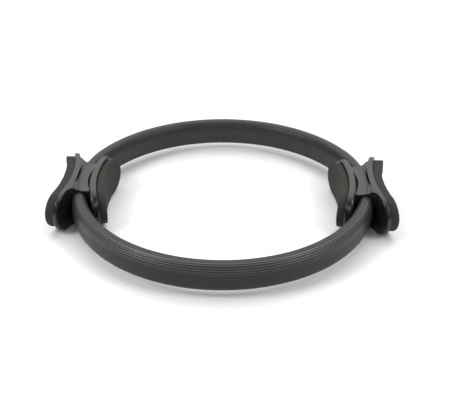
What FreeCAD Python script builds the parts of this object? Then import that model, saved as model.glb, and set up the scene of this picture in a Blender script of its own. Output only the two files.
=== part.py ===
import FreeCAD
import Part
import math
import os
from FreeCAD import Vector

# A squeeze ring for exercise: a sprung hoop in two sleeves with a padded handle at each side.
# Sizes are in millimetres. While building, z is zero at the hoop's middle height and the handle
# is drawn on the +X side; at export everything is lifted so that the handles stand on z = 0.

os.makedirs("parts", exist_ok=True)

# Hoop
hoop_radius = 168.0        # centre line of the hoop
sleeve_width = 18.7        # across the hoop, inside to outside
sleeve_height = 32.2       # up and down
sleeve_squareness = 2.5    # exponent of the rounded section, 2 would be an ellipse
band_thickness = 2.0       # each of the two nested spring bands
band_height = 22.0
butt_gap = 1.0             # open joint between the two ends of a band

# Handle shells
saddle_length = 68.0       # the part that wraps the hoop, lip to lip
saddle_wall = 2.0          # lowest line of the saddle above the level of the sleeve's top
trough_radius = 19.0       # hollow of the saddle from flange to flange
valley_offset = 3.0        # lowest line of that hollow from the inner flange, at the handle's middle
rim_rise = 5.6             # flange rim above that line
shoulder_drop = 0.5        # ends of the hollow below the flange's rim
sleeve_entry = 7.0         # how far a sleeve goes into a lip
outer_wall = 3.6           # between the end of a sleeve and the outer pad
outer_flange_length = 136.0
outer_flange_thickness = 7.5   # at the handle's middle
outer_flange_end = 5.0         # the same flange thins to this towards its ends
outer_face_radius = 190.0  # hollow of the outer face in plan
inner_wall = 11.9          # between the sleeve's line and the inner pad, at the handle's middle
inner_flange_length = 120.0
inner_flange_thickness = 8.5
inner_face_radius = 180.0  # hollow of the inner face in plan
front_round = 1.6          # edge beside a pad
outer_back_round = 1.5     # edge towards the hoop
inner_back_round = 3.0
lip_round = 1.2
outer_bay_round = 12.0     # corner between a lip and the outer flange
outer_bay_reach = 7.0      # how far that corner runs out along the flange
inner_bay_round = 5.0      # corner between a lip and the inner flange
web_round = 3.0            # where the top of a corner runs out on the flange
web_overlap = 0.7          # that run-out ends inside the flange
outer_crease_width = 1.5   # slender crease beside the outer flange, at its middle
outer_crease_length = 44.0
outer_crease_bite = 0.4    # how far it cuts into the back of the flange
inner_crease_width = 3.2   # broader crease beside the inner flange, at its mouth
inner_crease_length = 58.0
inner_crease_floor = 1.0   # width left at the bottom of it
crease_depth = 3.0

# Pads
outer_pad_thickness = 10.5
inner_pad_thickness = 8.7
pad_side_margin = 3.2      # bare flange above and below a pad
pad_end_margin = 5.0       # bare flange beyond the ends of a pad
pad_round = 1.2

# Screws through the bands, hidden under the pads
screw_spacing = 24.0
screw_diameter = 4.0
screw_head_diameter = 7.0
screw_head_height = 2.6
hex_key_size = 3.0
nut_across_flats = 7.0
nut_thickness = 3.2
washer_diameter = 9.0
washer_thickness = 0.8
nut_recess = 0.5           # nut below the outer pad's seat
head_recess = 1.2          # screw head below the inner pad's seat
boss_radius = 5.0
core_wall = 3.0            # wall left round the hollow behind the inner pad
rib_thickness = 2.0

# Clearances
soft_gap = 0.3             # round foam and rubber
band_gap = 0.2             # between the nested bands
slot_gap = 0.3             # between a band and the plastic
part_gap = 0.2             # seam between the two shells of a handle
screw_gap = 0.2
band_hole_gap = 0.5


def bulge(radius, y):
    """How far a hollow face of this radius stands proud at a distance y from its middle."""
    return radius - math.sqrt(radius ** 2 - y ** 2)


# Values that follow from the sizes above
half_sleeve_w = sleeve_width / 2
half_sleeve_h = sleeve_height / 2
lip_y = saddle_length / 2
sleeve_end_y = lip_y - sleeve_entry
saddle_top = half_sleeve_h + soft_gap + saddle_wall
flange_height = 2 * (saddle_top + rim_rise)
socket_radius = hoop_radius + half_sleeve_w + soft_gap
socket_end_x = math.sqrt(socket_radius ** 2 - sleeve_end_y ** 2)
outer_seat = socket_end_x + outer_wall - bulge(outer_face_radius, sleeve_end_y)
inner_seat = hoop_radius - half_sleeve_w - inner_wall
outer_centre = outer_seat + outer_face_radius
outer_inside = outer_seat - outer_flange_thickness   # hoop side of the outer flange, at the middle
outer_sag = bulge(outer_face_radius, outer_flange_length / 2) + outer_flange_thickness - outer_flange_end
outer_back = ((outer_flange_length / 2) ** 2 + outer_sag ** 2) / (2 * outer_sag)
outer_back_centre = outer_inside + outer_back
inner_centre = inner_seat - inner_face_radius
inner_inside = inner_seat + inner_flange_thickness
inner_back = inner_face_radius + inner_flange_thickness
half_stack = band_thickness + band_gap / 2
slot_half_w = half_stack + slot_gap
slot_half_h = band_height / 2 + slot_gap
screw_y = screw_spacing / 2
nut_outer = outer_seat - nut_recess
nut_inner = nut_outer - nut_thickness
head_seat = inner_seat + head_recess + screw_head_height
washer_seat = head_seat + washer_thickness
lift = flange_height / 2
tall = 4 * flange_height   # height of cutters that pass right through
past = 20.0                # how far other cutters run past what they cut
root = 2.0                 # how deep the saddle is drawn into a flange before they are joined


def box(x0, x1, y0, y1, z0, z1):
    return Part.makeBox(x1 - x0, y1 - y0, z1 - z0, Vector(x0, y0, z0))


def post(radius, x=0.0):
    """Tall upright cylinder, for cylindrical cuts in plan."""
    return Part.makeCylinder(radius, tall, Vector(x, 0, -tall / 2), Vector(0, 0, 1))


def along_x(radius, x0, x1, y, z=0.0):
    return Part.makeCylinder(radius, x1 - x0, Vector(x0, y, z), Vector(1, 0, 0))


def hexagon(across_flats, x0, x1, y):
    corner = across_flats / math.sqrt(3)
    points = []
    for k in range(7):
        a = math.radians(60 * k + 30)
        points.append(Vector(x0, y + corner * math.cos(a), corner * math.sin(a)))
    return Part.Face(Part.makePolygon(points)).extrude(Vector(x1 - x0, 0, 0))


def stadium(length, height, x0, x1):
    """Prism along x with round ends, seen from the ring's centre as an upright oval plate."""
    r = height / 2
    c = length / 2 - r
    wire = Part.Wire([
        Part.makeLine(Vector(x0, -c, -r), Vector(x0, c, -r)),
        Part.Arc(Vector(x0, c, -r), Vector(x0, c + r, 0), Vector(x0, c, r)).toShape(),
        Part.makeLine(Vector(x0, c, r), Vector(x0, -c, r)),
        Part.Arc(Vector(x0, -c, r), Vector(x0, -c - r, 0), Vector(x0, -c, -r)).toShape(),
    ])
    return Part.Face(wire).extrude(Vector(x1 - x0, 0, 0))


def curved_plate(length, height, back, face):
    """Oval plate bent in plan between two upright cylinders, each given as a radius and an axis."""
    prism = stadium(length, height, inner_seat - length / 2, outer_seat + length / 2)
    return prism.common(post(*back).cut(post(*face)))


def rim_edges(plate, radius, centre):
    """Edges of a bent plate that lie on the upright cylinder of this radius."""
    found = []
    for edge in plate.Edges:
        on = [abs(math.hypot(p.x - centre, p.y) - radius) < 1e-3 for p in edge.discretize(5)]
        if all(on):
            found.append(edge)
    return found


def section_wire(half_w, half_h):
    """Closed rounded section of the sleeve in the xz plane, at the hoop's centre line."""
    points = []
    for k in range(48):
        a = 2 * math.pi * k / 48
        c, s = math.cos(a), math.sin(a)
        x = half_w * math.copysign(abs(c) ** (2 / sleeve_squareness), c)
        z = half_h * math.copysign(abs(s) ** (2 / sleeve_squareness), s)
        points.append(Vector(hoop_radius + x, 0, z))
    curve = Part.BSplineCurve()
    curve.interpolate(points, PeriodicFlag=True)
    return Part.Wire([curve.toShape()])


def swept(wire, start, span):
    """Section turned about the ring's axis from one angle through another, in degrees."""
    face = Part.Face(wire)
    face.rotate(Vector(0, 0, 0), Vector(0, 0, 1), start)
    return face.revolve(Vector(0, 0, 0), Vector(0, 0, 1), span)


def ring(r0, r1, half_h):
    """Full square ring about the ring's axis."""
    outer = Part.makeCylinder(r1, 2 * half_h, Vector(0, 0, -half_h))
    return outer.cut(Part.makeCylinder(r0, 2 * half_h, Vector(0, 0, -half_h)))


# Sleeves: two half tubes whose ends stop inside the handles, with a slot for the bands
end_angle = math.degrees(math.asin(sleeve_end_y / hoop_radius))
band_slot = ring(hoop_radius - half_stack - soft_gap, hoop_radius + half_stack + soft_gap,
                 band_height / 2 + soft_gap)
sleeve_tube = swept(section_wire(half_sleeve_w, half_sleeve_h), end_angle, 180 - 2 * end_angle)
rear_sleeve = sleeve_tube.cut(band_slot)
front_sleeve = rear_sleeve.copy()
front_sleeve.rotate(Vector(0, 0, 0), Vector(0, 0, 1), 180)

# Spring bands: nested, each open at one handle, drilled for the screws of both handles
outer_band = ring(hoop_radius + band_gap / 2, hoop_radius + half_stack, band_height / 2)
inner_band = ring(hoop_radius - half_stack, hoop_radius - band_gap / 2, band_height / 2)
reach = hoop_radius + sleeve_width
for side in (-1, 1):
    for y in (-screw_y, screw_y):
        start = hoop_radius - sleeve_width if side > 0 else -reach
        hole = along_x(screw_diameter / 2 + band_hole_gap, start, start + 2 * sleeve_width, y)
        outer_band = outer_band.cut(hole)
        inner_band = inner_band.cut(hole)
outer_band = outer_band.cut(box(0, reach, -butt_gap / 2, butt_gap / 2, -band_height, band_height))
inner_band = inner_band.cut(box(-reach, 0, -butt_gap / 2, butt_gap / 2, -band_height, band_height))

# Flanges: bent oval plates with round rims, the outer one thinner towards its ends
outer_flange = curved_plate(outer_flange_length, flange_height,
                            (outer_back, outer_back_centre), (outer_face_radius, outer_centre))
outer_flange = outer_flange.makeFillet(
    outer_back_round, rim_edges(outer_flange, outer_back, outer_back_centre))
outer_flange = outer_flange.makeFillet(
    front_round, rim_edges(outer_flange, outer_face_radius, outer_centre))
inner_flange = curved_plate(inner_flange_length, flange_height,
                            (inner_back, inner_centre), (inner_face_radius, inner_centre))
inner_flange = inner_flange.makeFillet(
    inner_back_round, rim_edges(inner_flange, inner_back, inner_centre))
inner_flange = inner_flange.makeFillet(
    front_round, rim_edges(inner_flange, inner_face_radius, inner_centre))

# Saddle: the block between the flanges, hollowed over its top and bottom from flange to flange,
# with rounded bays at its ends that form the lips
valley_x = inner_inside + valley_offset
shoulder = flange_height / 2 - shoulder_drop
outer_web_y = lip_y + outer_bay_reach
inner_web_y = lip_y + inner_bay_round
bay_outer = outer_inside + bulge(outer_back, outer_web_y)
bay_outer += bulge(outer_bay_round, outer_bay_round - outer_bay_reach)
bay_inner = inner_inside - bulge(inner_back, inner_web_y)
block_y = outer_web_y + web_overlap
saddle = box(bay_inner - 2 * root, bay_outer + 2 * root, -block_y, block_y, -shoulder, shoulder)
run_outs = [e for e in saddle.Edges if abs(e.tangentAt(e.FirstParameter).x) > 0.9]
saddle = saddle.makeFillet(web_round, run_outs)
saddle = saddle.cut(post(inner_back - root, inner_centre))
saddle = saddle.cut(post(outer_back - root, outer_back_centre))
for up in (-1, 1):
    axis = Vector(valley_x, -tall, up * (saddle_top + trough_radius))
    saddle = saddle.cut(Part.makeCylinder(trough_radius, 2 * tall, axis, Vector(0, 1, 0)))
bay = box(bay_inner, bay_outer, lip_y, outer_web_y + past, -tall / 2, tall / 2)
for corner_x, corner_round in ((bay_outer, outer_bay_round), (bay_inner, inner_bay_round)):
    corner = [e for e in bay.Edges
              if (e.CenterOfMass - Vector(corner_x, lip_y, 0)).Length < 1e-6]
    bay = bay.makeFillet(corner_round, corner)
bay = bay.fuse(box(bay_inner - past, valley_x, inner_web_y, outer_web_y + past, -tall / 2, tall / 2))
saddle = saddle.cut(bay).cut(bay.mirror(Vector(0, 0, 0), Vector(0, 1, 0)))
lips = [e for e in saddle.Edges if abs(e.CenterOfMass.z) > saddle_top
        and all(abs(abs(p.y) - lip_y) < 1e-6 for p in e.discretize(3))]
saddle = saddle.makeFillet(lip_round, lips)

# Creases beside the flanges, top and bottom: a straight slit by the outer flange, and by the inner
# one a sickle with a sloping side that follows the flange
crease_floor = saddle_top - crease_depth
slit_half = outer_crease_width / 2
slit_x = outer_inside + outer_crease_bite - slit_half
slit_ends = [Vector(slit_x, side * outer_crease_length / 2, crease_floor) for side in (-1, 1)]
slit_sides = [Part.Arc(slit_ends[0], Vector(slit_x + side * slit_half, 0, crease_floor), slit_ends[1])
              for side in (-1, 1)]
slit = Part.Face(Part.Wire([arc.toShape() for arc in slit_sides])).extrude(Vector(0, 0, tall))
sickle_radius = 1 / (1 / inner_back + 2 * inner_crease_width / (inner_crease_length / 2) ** 2)
sickle_x = inner_inside + inner_crease_width - sickle_radius
sickle_height = shoulder - crease_floor
flare = (inner_crease_width - inner_crease_floor) / crease_depth
floor_radius = sickle_radius - flare * crease_depth
sickle = Part.makeCone(floor_radius, floor_radius + flare * sickle_height, sickle_height,
                       Vector(sickle_x, 0, crease_floor))
saddle = saddle.cut(sickle).cut(sickle.mirror(Vector(0, 0, 0), Vector(0, 0, 1)))

# Space for the sleeves' ends and the bands
socket = section_wire(half_sleeve_w + soft_gap, half_sleeve_h + soft_gap)
socket_angle = end_angle - math.degrees(soft_gap / hoop_radius)
socket_span = math.degrees(math.asin(2 * outer_web_y / hoop_radius))
hoop_space = ring(hoop_radius - slot_half_w, hoop_radius + slot_half_w, slot_half_h)
hoop_space = hoop_space.common(box(0, outer_centre, -2 * lip_y, 2 * lip_y, -tall, tall))
hoop_space = hoop_space.fuse(swept(socket, socket_angle, socket_span))
hoop_space = hoop_space.fuse(swept(socket, -socket_angle - socket_span, socket_span))

# Hollow behind the inner pad, with screw bosses and a cross rib left standing
core_floor = hoop_radius - slot_half_w - core_wall
core_half_y = sleeve_end_y - soft_gap - core_wall
core_half_z = crease_floor - core_wall
core = box(inner_seat - past, core_floor, -core_half_y, core_half_y, -core_half_z, core_half_z)
core = core.cut(box(inner_seat - past, core_floor, -rib_thickness / 2, rib_thickness / 2, -tall, tall))
for y in (-screw_y, screw_y):
    core = core.cut(along_x(boss_radius, washer_seat, core_floor, y))

# The two shells meet at a seam on the hoop's centre line
inner_shell = inner_flange.fuse(saddle.common(post(hoop_radius - part_gap / 2)))
inner_shell = inner_shell.cut(hoop_space).cut(core)
outer_shell = outer_flange.fuse(saddle.cut(post(hoop_radius + part_gap / 2)))
outer_shell = outer_shell.cut(slit).cut(slit.mirror(Vector(0, 0, 0), Vector(0, 0, 1))).cut(hoop_space)
screws = []
washers = []
nuts = []
for y in (-screw_y, screw_y):
    hole = along_x(screw_diameter / 2 + screw_gap, head_seat, outer_seat + past, y)
    inner_shell = inner_shell.cut(hole)
    outer_shell = outer_shell.cut(hole)
    pocket = hexagon(nut_across_flats + 2 * screw_gap, nut_inner, outer_seat + past, y)
    outer_shell = outer_shell.cut(pocket)
    shank = along_x(screw_diameter / 2, head_seat, nut_outer, y)
    head = along_x(screw_head_diameter / 2, head_seat - screw_head_height, head_seat, y)
    key = hexagon(hex_key_size, head_seat - screw_head_height - past, head_seat - screw_head_height / 2, y)
    screws.append(head.fuse(shank).cut(key).removeSplitter())
    disc = along_x(washer_diameter / 2, head_seat, washer_seat, y)
    washers.append(disc.cut(hole))
    nuts.append(hexagon(nut_across_flats, nut_inner, nut_outer, y).cut(hole))
inner_shell = inner_shell.removeSplitter()
outer_shell = outer_shell.removeSplitter()

# Pads: bent oval slabs of foam, a little clear of their seats
def pad(length, centre, seat_radius, face_radius):
    slab = curved_plate(length - 2 * pad_end_margin, flange_height - 2 * pad_side_margin,
                        (seat_radius, centre), (face_radius, centre))
    return slab.makeFillet(pad_round, rim_edges(slab, face_radius, centre))


outer_pad = pad(outer_flange_length, outer_centre, outer_face_radius - soft_gap,
                outer_face_radius - outer_pad_thickness)
inner_pad = pad(inner_flange_length, inner_centre, inner_face_radius - soft_gap,
                inner_face_radius - inner_pad_thickness)


def export(name, shape):
    placed = shape.copy()
    placed.translate(Vector(0, 0, lift))
    placed.exportStep("parts/" + name + ".step")


export("front_sleeve", front_sleeve)
export("rear_sleeve", rear_sleeve)
export("outer_spring_band", outer_band)
export("inner_spring_band", inner_band)
handle = {
    "outer_shell": outer_shell,
    "inner_shell": inner_shell,
    "outer_pad": outer_pad,
    "inner_pad": inner_pad,
    "screws": Part.makeCompound(screws),
    "washers": Part.makeCompound(washers),
    "nuts": Part.makeCompound(nuts),
}
for name, shape in handle.items():
    export("right_" + name, shape)
    turned = shape.copy()
    turned.rotate(Vector(0, 0, 0), Vector(0, 0, 1), 180)
    export("left_" + name, turned)
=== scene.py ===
import bmesh
import bpy
import math
from mathutils import Matrix, Vector


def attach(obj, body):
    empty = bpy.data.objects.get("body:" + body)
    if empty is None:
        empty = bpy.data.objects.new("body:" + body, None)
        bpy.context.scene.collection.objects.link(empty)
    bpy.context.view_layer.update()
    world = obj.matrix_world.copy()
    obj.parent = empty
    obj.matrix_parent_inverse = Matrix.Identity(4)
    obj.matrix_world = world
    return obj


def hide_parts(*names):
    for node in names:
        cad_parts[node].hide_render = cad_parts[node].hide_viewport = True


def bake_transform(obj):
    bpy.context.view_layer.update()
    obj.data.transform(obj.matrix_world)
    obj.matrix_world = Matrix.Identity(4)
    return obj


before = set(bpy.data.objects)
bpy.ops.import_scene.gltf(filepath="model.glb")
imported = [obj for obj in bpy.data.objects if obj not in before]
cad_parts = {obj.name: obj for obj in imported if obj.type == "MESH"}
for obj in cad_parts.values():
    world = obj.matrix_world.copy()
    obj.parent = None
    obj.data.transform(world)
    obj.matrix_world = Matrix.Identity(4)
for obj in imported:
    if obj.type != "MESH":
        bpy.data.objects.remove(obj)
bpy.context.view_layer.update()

# Sizes in metres, in the part's frame: the ring lies on z = 0 with its axis upright at the origin
hoop_radius = 0.168
hoop_height = 0.024            # middle of the hoop above the floor

# Sleeves
sleeve_width = 0.0187
sleeve_height = 0.0322
sleeve_squareness = 2.5
sleeve_end_y = 0.027           # the sleeves stop here, inside the handles
sleeve_swell = 0.0005          # the rubber swells by this once it is clear of the handles, over this stretch
swell_start_y = 0.045
swell_length = 0.020
slot_width = 0.0048            # room for the spring bands inside a sleeve
slot_height = 0.0226
arc_steps = 90                 # steps along half a sleeve
outline_points = 1440          # points of the plain section, before they are spaced evenly

# Ribs, on the upper outer shoulder of a sleeve
rib_count = 36                 # pitches around the whole section
rib_height = 0.0003
rib_share = 0.6                # part of the pitch that a rib takes
rib_proud = 0.6                # part of a rib's height that stands out of the plain section
rib_samples = 8
ribs_start_outward = 0.03      # they start here and grow over this stretch, in sleeve widths from its middle
ribs_grow_outward = 0.15
ribs_start_up = 0.1            # likewise in sleeve heights
ribs_grow_up = 0.2

# Pads
outer_seat = 0.17726           # face of the outer flange at the handle's middle
outer_face_radius = 0.190
outer_pad_thickness = 0.0105
outer_pad_length = 0.126
inner_seat = 0.14675           # face of the inner flange, likewise
inner_face_radius = 0.180
inner_pad_thickness = 0.0087
inner_pad_length = 0.110
pad_height = 0.0416
pad_clearance = 0.0003
pad_edge = 0.0012              # rounding of a pad's face edge
pad_edge_steps = 4
pad_face_insets = (0.002, 0.0045, 0.008, 0.012, 0.016)   # rows of points on the face, from its edge inward
pad_end_points = 28
pad_side_points = 24
pad_sharp_angle = math.radians(40)

# Looks of the rubber and the plastic
plain_tone = 0.46              # shade of the rubber between the ribs, on them, where it is a painted highlight, and on the ring's inner side
rib_highlight_tone = 0.5
inner_tone = 0.74
plain_shine = 0.25             # its shine between the ribs and on them, which are rubbed smooth
rib_shine = 0.7
rib_coat_roughness = 0.3
edge_wear = 0.0012             # softening of the shells' edges, in their shading alone
edge_samples = 8
patch_low = 0.3                # noise at which a mottled colour is darkest and palest
patch_high = 0.7
noise_low = 0.25               # noise at which a varying roughness is lowest and highest
noise_high = 0.75


# Mesh helpers
def new_object(name, bm):
    mesh = bpy.data.meshes.new(name)
    bm.normal_update()
    bm.to_mesh(mesh)
    bm.free()
    obj = bpy.data.objects.new(name, mesh)
    bpy.context.scene.collection.objects.link(obj)
    return obj


def join_rows(bm, rows, smooth):
    for low, high in zip(rows, rows[1:]):
        for k in range(len(low)):
            n = (k + 1) % len(low)
            bm.faces.new((low[k], low[n], high[n], high[k])).smooth = smooth


def rim_edges(bm, row):
    return [bm.edges.get((row[k], row[(k + 1) % len(row)])) for k in range(len(row))]


def close_rim(bm, edges, smooth):
    for face in bmesh.ops.triangle_fill(bm, edges=edges, use_beauty=True)["geom"]:
        if isinstance(face, bmesh.types.BMFace):
            face.smooth = smooth


def smooth_step(share):
    share = min(1.0, max(0.0, share))
    return share * share * (3 - 2 * share)


# Node helpers for the materials and the light
def new_material(name):
    material = bpy.data.materials.new(name)
    material.use_nodes = True
    nodes = material.node_tree.nodes
    return material, nodes, material.node_tree.links, nodes["Principled BSDF"]


def object_coordinates(nodes):
    return nodes.new("ShaderNodeTexCoord").outputs["Object"]


def camera_ray(nodes):
    return nodes.new("ShaderNodeLightPath").outputs["Is Camera Ray"]


def attribute(nodes, name):
    node = nodes.new("ShaderNodeAttribute")
    node.attribute_name = name
    return node.outputs["Fac"]


def stretched(nodes, links, vector, scale):
    mapping = nodes.new("ShaderNodeMapping")
    mapping.inputs["Scale"].default_value = scale
    links.new(vector, mapping.inputs["Vector"])
    return mapping.outputs["Vector"]


def noise(nodes, links, vector, scale, detail, roughness=0.5):
    node = nodes.new("ShaderNodeTexNoise")
    node.inputs["Scale"].default_value = scale
    node.inputs["Detail"].default_value = detail
    node.inputs["Roughness"].default_value = roughness
    links.new(vector, node.inputs["Vector"])
    return node.outputs["Fac"]


def cells(nodes, links, vector, scale):
    node = nodes.new("ShaderNodeTexVoronoi")
    node.inputs["Scale"].default_value = scale
    links.new(vector, node.inputs["Vector"])
    return node.outputs["Distance"]


def mottled(nodes, links, value, dark, pale):
    node = nodes.new("ShaderNodeValToRGB")
    stops = ((patch_low, dark), (patch_high, pale))
    for element, (position, colour) in zip(node.color_ramp.elements, stops):
        element.position = position
        element.color = (*colour, 1.0)
    links.new(value, node.inputs["Fac"])
    return node.outputs["Color"]


# Leads from low to high while a value goes from start to full. Each can be a number or a node's output
def between(nodes, links, value, low, high, start=0.0, full=1.0, smooth=False):
    node = nodes.new("ShaderNodeMapRange")
    if smooth:
        node.interpolation_type = "SMOOTHSTEP"
    settings = {"Value": value, "From Min": start, "From Max": full, "To Min": low, "To Max": high}
    for name, setting in settings.items():
        if isinstance(setting, bpy.types.NodeSocket):
            links.new(setting, node.inputs[name])
        else:
            node.inputs[name].default_value = setting
    return node.outputs["Result"]


def spread(nodes, links, value, low, high):
    return between(nodes, links, value, low, high, noise_low, noise_high)


def bump(nodes, links, height, distance, strength, below=None):
    node = nodes.new("ShaderNodeBump")
    node.inputs["Distance"].default_value = distance
    node.inputs["Strength"].default_value = strength
    links.new(height, node.inputs["Height"])
    if below is not None:
        links.new(below, node.inputs["Normal"])
    return node.outputs["Normal"]


# Sleeve: matt dark extruded rubber with a fine grain, rubbed smooth on the ribs, with a painted highlight on
# their tops, and paler on the inner side
def sleeve_material():
    material, nodes, links, shader = new_material("ribbed_rubber")
    place = object_coordinates(nodes)
    grain = noise(nodes, links, place, scale=2600.0, detail=2.0)
    cloud = noise(nodes, links, place, scale=45.0, detail=4.0)
    colour = mottled(nodes, links, cloud, dark=(0.043, 0.043, 0.039), pale=(0.056, 0.056, 0.050))
    ridge = attribute(nodes, "ridge")
    plain = between(nodes, links, attribute(nodes, "inner_side"), plain_tone, inner_tone)
    toned = nodes.new("ShaderNodeVectorMath")
    toned.operation = "SCALE"
    links.new(colour, toned.inputs[0])
    # The ribs' tops are painted a little paler than the rubber between them: a painted highlight
    links.new(between(nodes, links, ridge, plain, rib_highlight_tone), toned.inputs["Scale"])
    links.new(toned.outputs["Vector"], shader.inputs["Base Color"])
    links.new(between(nodes, links, ridge, plain_shine, rib_shine), shader.inputs["Specular IOR Level"])
    links.new(ridge, shader.inputs["Coat Weight"])
    shader.inputs["Coat Roughness"].default_value = rib_coat_roughness
    links.new(spread(nodes, links, cloud, low=0.36, high=0.44), shader.inputs["Roughness"])
    links.new(bump(nodes, links, grain, distance=0.0002, strength=0.25), shader.inputs["Normal"])
    return material


# Shells: glossy black injection-moulded plastic with a faint moulding ripple and handling haze
def shell_material():
    material, nodes, links, shader = new_material("black_gloss_plastic")
    place = object_coordinates(nodes)
    haze = noise(nodes, links, place, scale=60.0, detail=5.0)
    ripple = noise(nodes, links, place, scale=3000.0, detail=2.0)
    colour = mottled(nodes, links, haze, dark=(0.010, 0.010, 0.010), pale=(0.014, 0.014, 0.014))
    links.new(colour, shader.inputs["Base Color"])
    links.new(spread(nodes, links, haze, low=0.20, high=0.26), shader.inputs["Roughness"])
    worn = nodes.new("ShaderNodeBevel")
    worn.samples = edge_samples
    worn.inputs["Radius"].default_value = edge_wear
    rippled = bump(nodes, links, ripple, distance=0.00002, strength=0.03, below=worn.outputs["Normal"])
    links.new(rippled, shader.inputs["Normal"])
    shader.inputs["IOR"].default_value = 1.52
    return material


# Pads: matt closed-cell foam, dark olive grey, with tiny cells
def pad_material():
    material, nodes, links, shader = new_material("foam_pad")
    place = object_coordinates(nodes)
    cell = cells(nodes, links, place, scale=1700.0)
    cloud = noise(nodes, links, place, scale=70.0, detail=5.0)
    colour = mottled(nodes, links, cloud, dark=(0.027, 0.027, 0.0225), pale=(0.037, 0.037, 0.0307))
    links.new(colour, shader.inputs["Base Color"])
    links.new(spread(nodes, links, cloud, low=0.74, high=0.88), shader.inputs["Roughness"])
    links.new(bump(nodes, links, cell, distance=0.0002, strength=0.35), shader.inputs["Normal"])
    shader.inputs["Specular IOR Level"].default_value = 0.3
    return material


# Bands: pultruded glass fibre, pale yellow with fibres along the hoop
def band_material():
    material, nodes, links, shader = new_material("glass_fibre")
    along_hoop = stretched(nodes, links, object_coordinates(nodes), scale=(1.0, 1.0, 40.0))
    fibres = noise(nodes, links, along_hoop, scale=60.0, detail=4.0, roughness=0.7)
    colour = mottled(nodes, links, fibres, dark=(0.50, 0.47, 0.30), pale=(0.68, 0.66, 0.50))
    links.new(colour, shader.inputs["Base Color"])
    links.new(spread(nodes, links, fibres, low=0.35, high=0.5), shader.inputs["Roughness"])
    links.new(bump(nodes, links, fibres, distance=0.0001, strength=0.3), shader.inputs["Normal"])
    return material


# Fasteners: turned steel with fine brushing
def steel_material():
    material, nodes, links, shader = new_material("brushed_steel")
    along_screw = stretched(nodes, links, object_coordinates(nodes), scale=(1.0, 30.0, 30.0))
    brushing = noise(nodes, links, along_screw, scale=400.0, detail=3.0)
    colour = mottled(nodes, links, brushing, dark=(0.52, 0.52, 0.53), pale=(0.66, 0.66, 0.66))
    links.new(colour, shader.inputs["Base Color"])
    links.new(spread(nodes, links, brushing, low=0.28, high=0.42), shader.inputs["Roughness"])
    shader.inputs["Metallic"].default_value = 1.0
    return material


# Plain section of a sleeve: points across the hoop (outward) and up
def plain_section():
    points = []
    for k in range(outline_points):
        a = 2 * math.pi * k / outline_points
        c, s = math.cos(a), math.sin(a)
        x = sleeve_width / 2 * math.copysign(abs(c) ** (2 / sleeve_squareness), c)
        z = sleeve_height / 2 * math.copysign(abs(s) ** (2 / sleeve_squareness), s)
        points.append(Vector((x, z)))
    return points


# Section of a sleeve with its ribs, as evenly spaced points. With each goes how far up a rib it lies, and how
# far on the ring's inner side
def sleeve_section():
    points = plain_section()
    sides = [points[(k + 1) % outline_points] - points[k] for k in range(outline_points)]
    step = sum(along.length for along in sides) / (rib_count * rib_samples)
    section = []
    travelled = 0.0
    wanted = 0.0
    for point, along in zip(points, sides):
        while wanted < travelled + along.length and len(section) < rib_count * rib_samples:
            spot = point + (wanted - travelled) / along.length * along
            outward = Vector((along.y, -along.x)).normalized()
            phase = (len(section) % rib_samples) / rib_samples - 0.5
            lobe = math.cos(math.pi * phase / rib_share) if abs(phase) < rib_share / 2 else 0.0
            outside = smooth_step((spot.x / sleeve_width - ribs_start_outward) / ribs_grow_outward)
            above = smooth_step((spot.y / sleeve_height - ribs_start_up) / ribs_grow_up)
            strength = above * outside
            place = spot + outward * rib_height * strength * (lobe - 1 + rib_proud)
            inner = smooth_step(0.5 - 2 * spot.x / sleeve_width)
            section.append((place, strength * lobe, inner))
            wanted += step
        travelled += along.length
    return section


# One half of a sleeve, from the handle to the middle of the hoop, with the slot for the bands inside
def sleeve_half(name, right, rear, section):
    end_angle = math.asin(sleeve_end_y / hoop_radius)
    w, h = slot_width / 2, slot_height / 2
    slot = [(Vector(p), 0.0, 0.0) for p in ((w, -h), (w, h), (-w, h), (-w, -h))]
    bm = bmesh.new()
    ridge = bm.verts.layers.float.new("ridge")
    inner_side = bm.verts.layers.float.new("inner_side")
    rings = {"skin": [], "slot": []}
    for k in range(arc_steps + 1):
        a = end_angle + (math.pi / 2 - end_angle) * k / arc_steps
        c, s = math.cos(a) * right, math.sin(a) * rear
        swell = sleeve_swell * smooth_step((hoop_radius * abs(s) - swell_start_y) / swell_length)
        grown = Vector((1 + 2 * swell / sleeve_width, 1 + 2 * swell / sleeve_height))
        for part, outline, growth in (("skin", section, grown), ("slot", slot, Vector((1, 1)))):
            row = []
            for p, rise, inner in outline:
                r = hoop_radius + p.x * growth.x
                vertex = bm.verts.new((r * c, r * s, hoop_height + p.y * growth.y))
                vertex[ridge] = rise
                vertex[inner_side] = inner
                row.append(vertex)
            rings[part].append(row)
    for part, rows in rings.items():
        join_rows(bm, rows, smooth=part == "skin")
    for end in (0, -1):
        rim = []
        for rows in rings.values():
            rim += rim_edges(bm, rows[end])
        close_rim(bm, rim, smooth=False)
        for edge in rim:
            edge.smooth = False
    bmesh.ops.recalc_face_normals(bm, faces=bm.faces)
    return new_object(name, bm)


# Half of a spring band, taken from the band's own solid and closed where it is parted
def band_half(name, node, right):
    bm = bmesh.new()
    bm.from_mesh(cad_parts[node].data)
    bmesh.ops.remove_doubles(bm, verts=bm.verts, dist=1e-6)
    parts = bm.verts[:] + bm.edges[:] + bm.faces[:]
    bmesh.ops.bisect_plane(bm, geom=parts, plane_co=(0, 0, 0), plane_no=(-right, 0, 0), clear_outer=True)
    bmesh.ops.holes_fill(bm, edges=[e for e in bm.edges if e.is_boundary], sides=0)
    for face in bm.faces:
        face.smooth = False
    return new_object(name, bm)


# Oval outline of a pad in the plane that faces the ring's centre, inset from its edge
def pad_outline(length, inset):
    r = pad_height / 2 - inset
    c = length / 2 - pad_height / 2
    points = []
    for side in (1, -1):
        for k in range(pad_end_points):
            a = -math.pi / 2 + math.pi * k / pad_end_points
            points.append((side * (c + r * math.cos(a)), side * r * math.sin(a)))
        for k in range(pad_side_points):
            points.append((side * (c - 2 * c * k / pad_side_points), side * r))
    return points


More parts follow.
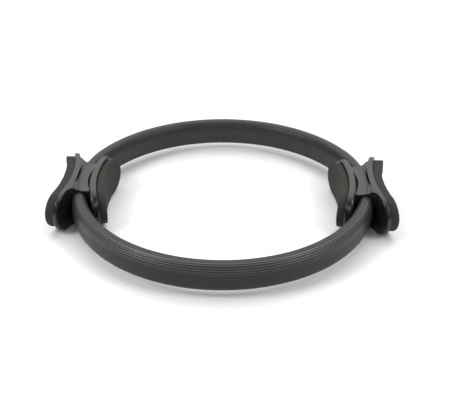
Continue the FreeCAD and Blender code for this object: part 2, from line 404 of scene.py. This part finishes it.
# Bent oval slab of foam: rounded towards the hand, square towards the flange
def pad(name, length, seat, radius, thickness, facing, right):
    centre = seat + facing * radius
    levels = [(pad_clearance, 0.0), (thickness - pad_edge, 0.0)]
    for k in range(1, pad_edge_steps + 1):
        a = math.pi / 2 * k / pad_edge_steps
        levels.append((thickness - pad_edge * (1 - math.sin(a)), pad_edge * (1 - math.cos(a))))
    for inset in pad_face_insets:
        levels.append((thickness, pad_edge + inset))
    bm = bmesh.new()
    rows = []
    for depth, inset in levels:
        row = []
        for y, z in pad_outline(length, inset):
            x = centre - facing * math.sqrt((radius - depth) ** 2 - y * y)
            row.append(bm.verts.new((right * x, right * y, hoop_height + z)))
        rows.append(row)
    join_rows(bm, rows, smooth=True)
    for row in (rows[0], rows[-1]):
        close_rim(bm, rim_edges(bm, row), smooth=row is rows[-1])
    bmesh.ops.recalc_face_normals(bm, faces=bm.faces)
    for edge in bm.edges:
        if len(edge.link_faces) == 2 and edge.calc_face_angle() > pad_sharp_angle:
            edge.smooth = False
    return new_object(name, bm)


rubber = sleeve_material()
plastic = shell_material()
foam = pad_material()
fibre = band_material()
steel = steel_material()

# Sleeves and bands, in halves between the middle of the hoop and the handles
section = sleeve_section()
for side, right in (("left", -1), ("right", 1)):
    flexing = []
    for place, rear in (("front", -1), ("rear", 1)):
        piece = sleeve_half(place + "_sleeve_" + side, right, rear, section)
        piece.data.materials.append(rubber)
        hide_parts(place + "_sleeve")
        flexing.append(piece)
    for place in ("outer", "inner"):
        node = place + "_spring_band"
        piece = band_half(node + "_" + side, node, right)
        piece.data.materials.append(fibre)
        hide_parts(node)
        flexing.append(piece)
    for piece in flexing:
        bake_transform(piece)

# Pads
for side, right in (("left", -1), ("right", 1)):
    outer = pad(side + "_outer_foam", outer_pad_length, outer_seat, outer_face_radius,
                outer_pad_thickness, 1, right)
    inner = pad(side + "_inner_foam", inner_pad_length, inner_seat, inner_face_radius,
                inner_pad_thickness, -1, right)
    for piece, node in ((outer, side + "_outer_pad"), (inner, side + "_inner_pad")):
        piece.data.materials.append(foam)
        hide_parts(node)
        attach(piece, side + "_handle")

# Shells and fasteners are the solids themselves
finishes = {"shell": plastic, "screws": steel, "washers": steel, "nuts": steel}
for name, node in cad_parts.items():
    for ending, material in finishes.items():
        if name.endswith(ending):
            node.data.materials.clear()
            node.data.materials.append(material)


# Floor: lit white around the ring, where it keeps the shadow, and glowing white to the camera further out
floor_size = 4.0
floor_colour = 0.95
floor_lift = 0.4
glow_start = 0.20
glow_full = 0.50


def floor_material():
    material, nodes, links, shader = new_material("studio_floor")
    nodes.remove(shader)
    diffuse = nodes.new("ShaderNodeBsdfDiffuse")
    diffuse.inputs["Color"].default_value = (floor_colour, floor_colour, floor_colour, 1.0)
    away = nodes.new("ShaderNodeVectorMath")
    away.operation = "LENGTH"
    links.new(object_coordinates(nodes), away.inputs[0])
    lift = between(nodes, links, away.outputs["Value"], 0.0, floor_lift, glow_start, glow_full, smooth=True)
    glow = nodes.new("ShaderNodeEmission")
    links.new(between(nodes, links, camera_ray(nodes), 0.0, lift), glow.inputs["Strength"])
    both = nodes.new("ShaderNodeAddShader")
    links.new(diffuse.outputs["BSDF"], both.inputs[0])
    links.new(glow.outputs["Emission"], both.inputs[1])
    links.new(both.outputs["Shader"], nodes["Material Output"].inputs["Surface"])
    return material


bm = bmesh.new()
bmesh.ops.create_grid(bm, x_segments=2, y_segments=2, size=floor_size)
floor = new_object("studio_floor", bm)
floor.data.materials.append(floor_material())


# Lamps: soft boxes high at the left and right, weak ones low beside the ring, narrow ones beside the camera
def softbox(name, place, size, radiance):
    lamp = bpy.data.lights.new(name, "AREA")
    lamp.shape = "RECTANGLE"
    lamp.size, lamp.size_y = size
    lamp.energy = radiance * math.pi * size[0] * size[1]
    obj = bpy.data.objects.new(name, lamp)
    obj.location = place
    obj.rotation_euler = (-Vector(place)).to_track_quat("-Z", "Y").to_euler()
    bpy.context.scene.collection.objects.link(obj)


def pair_of_softboxes(name, x, y, z, size, left, right):
    softbox(name + "_left_light", (-x, y, z), size, left)
    softbox(name + "_right_light", (x, y, z), size, right)


pair_of_softboxes("high", x=0.95, y=-0.45, z=1.05, size=(0.5, 0.5), left=9.4, right=7.6)
pair_of_softboxes("low", x=1.3, y=0.0, z=0.6, size=(0.6, 0.7), left=0.6, right=0.5)
pair_of_softboxes("front", x=0.3, y=-0.95, z=0.75, size=(0.10, 0.5), left=4.0, right=4.0)

# Room: a white far wall and a pale ceiling, dark towards the camera, to the sides and near the floor. The
# camera itself sees it white. The limits are parts of a direction: across, to the back and up
room_dark = 0.09
room_top = 2.4
room_back = 1.3
side_start = 0.40
side_full = 0.85
back_start = -0.5
back_full = 0.4
wall_start = 0.0
wall_full = 0.3
ceiling_start = 0.35
ceiling_full = 0.95


def room_light(world):
    world.use_nodes = True
    nodes, links = world.node_tree.nodes, world.node_tree.links
    sky = nodes["Background"]
    sky.inputs["Color"].default_value = (1.0, 1.0, 1.0, 1.0)
    direction = nodes.new("ShaderNodeSeparateXYZ")
    links.new(nodes.new("ShaderNodeTexCoord").outputs["Generated"], direction.inputs["Vector"])
    sideways = nodes.new("ShaderNodeMath")
    sideways.operation = "ABSOLUTE"
    links.new(direction.outputs["X"], sideways.inputs[0])
    across, back, up = sideways.outputs["Value"], direction.outputs["Y"], direction.outputs["Z"]
    upper = between(nodes, links, up, room_back, room_top, ceiling_start, ceiling_full, smooth=True)
    wall = between(nodes, links, up, room_dark, upper, wall_start, wall_full, smooth=True)
    backward = between(nodes, links, back, 0.0, 1.0, back_start, back_full, smooth=True)
    middle = between(nodes, links, backward, room_dark, wall)
    room = between(nodes, links, across, middle, room_dark, side_start, side_full, smooth=True)
    links.new(between(nodes, links, camera_ray(nodes), room, 1.0), sky.inputs["Strength"])


bpy.context.scene.world = bpy.data.worlds.new("studio")
room_light(bpy.context.scene.world)

# Camera at the photograph's viewing angle
camera_distance = 0.9464
camera_elevation = math.radians(30.51)
camera_turn = math.radians(1.38)
camera_roll = math.radians(0.10)
aim_right = 0.0026
aim_up = -0.00945
sensor_width_mm = 36.0
focal_length_mm = 63.65

away = Vector((math.sin(camera_turn) * math.cos(camera_elevation),
               -math.cos(camera_turn) * math.cos(camera_elevation), math.sin(camera_elevation)))
level_right = Vector((math.cos(camera_turn), math.sin(camera_turn), 0.0))
upright = away.cross(level_right)
across = level_right * math.cos(camera_roll) + upright * math.sin(camera_roll)
turned = Matrix((across, away.cross(across), away)).transposed()
lens = bpy.data.cameras.new("camera")
lens.sensor_width = sensor_width_mm
lens.lens = focal_length_mm
camera = bpy.data.objects.new("camera", lens)
camera.rotation_euler = turned.to_euler()
camera.location = (Vector((0, 0, hoop_height)) + away * camera_distance
                   + level_right * aim_right + upright * aim_up)
bpy.context.scene.collection.objects.link(camera)
bpy.context.scene.camera = camera

bpy.context.scene.view_settings.view_transform = "Standard"
